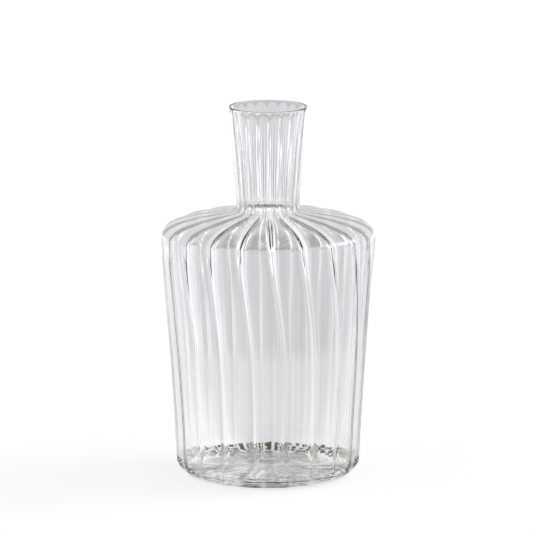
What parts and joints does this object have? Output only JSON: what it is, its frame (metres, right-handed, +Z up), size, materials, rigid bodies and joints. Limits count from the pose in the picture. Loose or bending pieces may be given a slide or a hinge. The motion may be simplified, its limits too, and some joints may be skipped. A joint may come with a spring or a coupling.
{
  "type": "glass decanter",
  "caption": "Open ribbed glass decanter: a tapered round barrel on a rounded heel, a domed shoulder and a flared neck for pouring spirits.",
  "frame": {"origin": "on the table under the middle of the base", "axes": "+Z up along the vessel's axis towards the mouth, -Y faces the viewer of the picture"},
  "size_m": [0.1158, 0.1158, 0.2],
  "materials": {
    "clear_glass": "clear soda-lime glass with a trace of green, fire-polished, soft ribs and faint ripples"
  },
  "bodies": {
    "root": {"base": "clear_glass", "barrel": "clear_glass", "shoulder": "clear_glass", "neck": "clear_glass", "lip": "clear_glass"}
  },
  "joints": []
}
